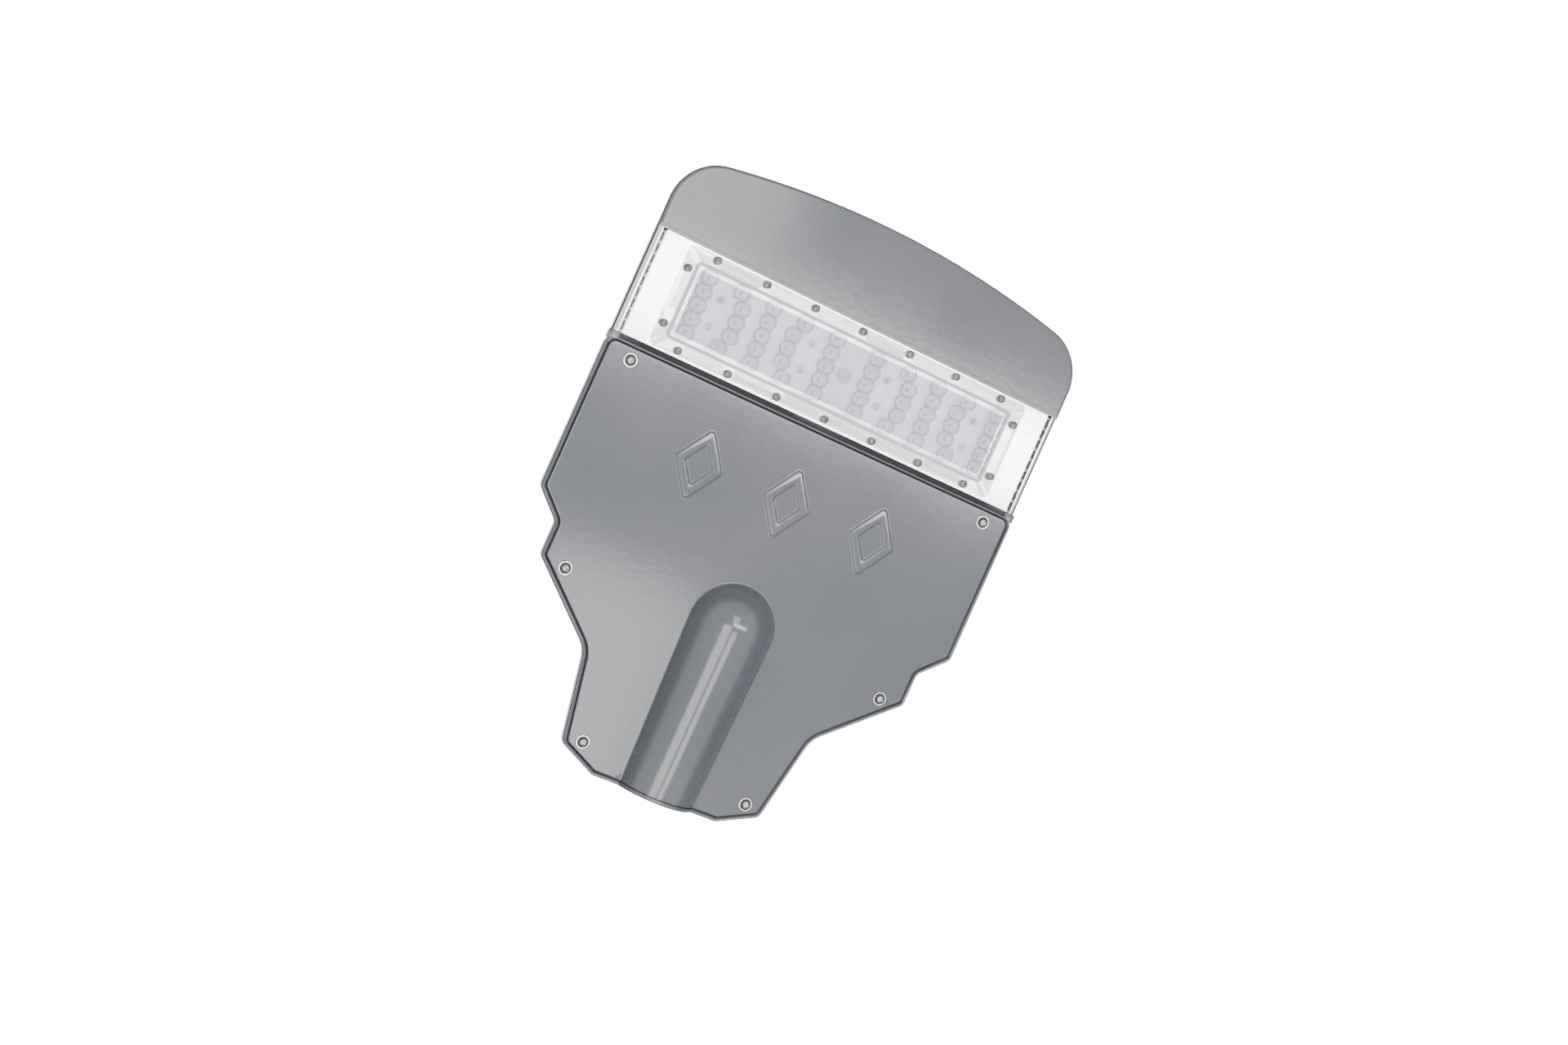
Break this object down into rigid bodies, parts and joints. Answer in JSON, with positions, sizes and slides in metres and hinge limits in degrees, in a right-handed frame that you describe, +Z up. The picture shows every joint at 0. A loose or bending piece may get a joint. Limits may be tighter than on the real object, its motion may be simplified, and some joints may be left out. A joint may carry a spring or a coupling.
{
  "type": "led street light head",
  "caption": "Flat grey street light head for the end of a pole arm: driver compartment with a lid, one LED module with a lens plate, and a curved nose cap.",
  "frame": {"origin": "middle of the arm socket's mouth, on the rear face", "axes": "+Y from the arm to the nose, +X across the lamp, +Z up; the light comes out towards -Z"},
  "size_m": [0.3406, 0.4478, 0.0828],
  "materials": {
    "cast_paint": "glossy grey powder coat on die-cast aluminium",
    "bare_aluminium": "bright satin, milled and anodised",
    "clear_optic": "clear moulded optic",
    "black_rubber": "matt black",
    "bright_steel": "bright stainless",
    "zinc_steel": "zinc plated",
    "heat_pad": "matt",
    "white_board": "white solder resist",
    "led_phosphor": "orange yellow phosphor",
    "grey_silicone": "matt grey",
    "driver_case": "dark grey",
    "block_plastic": "off-white",
    "surge_case": "red",
    "brass_plated": "nickel plated"
  },
  "bodies": {
    "root": {"driver_housing": "cast_paint", "driver_cover": "cast_paint", "front_cap": "cast_paint", "heat_sink": "bare_aluminium", "left_rail": "bare_aluminium", "right_rail": "bare_aluminium", "lens_plate": "clear_optic", "lens_gasket": "black_rubber", "lens_screws": "bright_steel", "thermal_pad": "heat_pad", "led_board": "white_board", "led_chips": "led_phosphor", "board_plug": "grey_silicone", "board_screws": "bright_steel", "cover_gasket": "black_rubber", "cover_screws": "bright_steel", "cover_washers": "bright_steel", "arm_saddle": "zinc_steel", "saddle_bolts": "zinc_steel", "tie_rods": "zinc_steel", "gear_tray": "zinc_steel", "tray_screws": "bright_steel", "led_driver": "driver_case", "driver_screws": "bright_steel", "terminal_block": "block_plastic", "terminal_screws": "bright_steel", "surge_protector": "surge_case", "earth_screw": "brass_plated", "module_gland": "brass_plated", "gland_nut": "brass_plated", "module_lead": "black_rubber"}
  },
  "joints": []
}
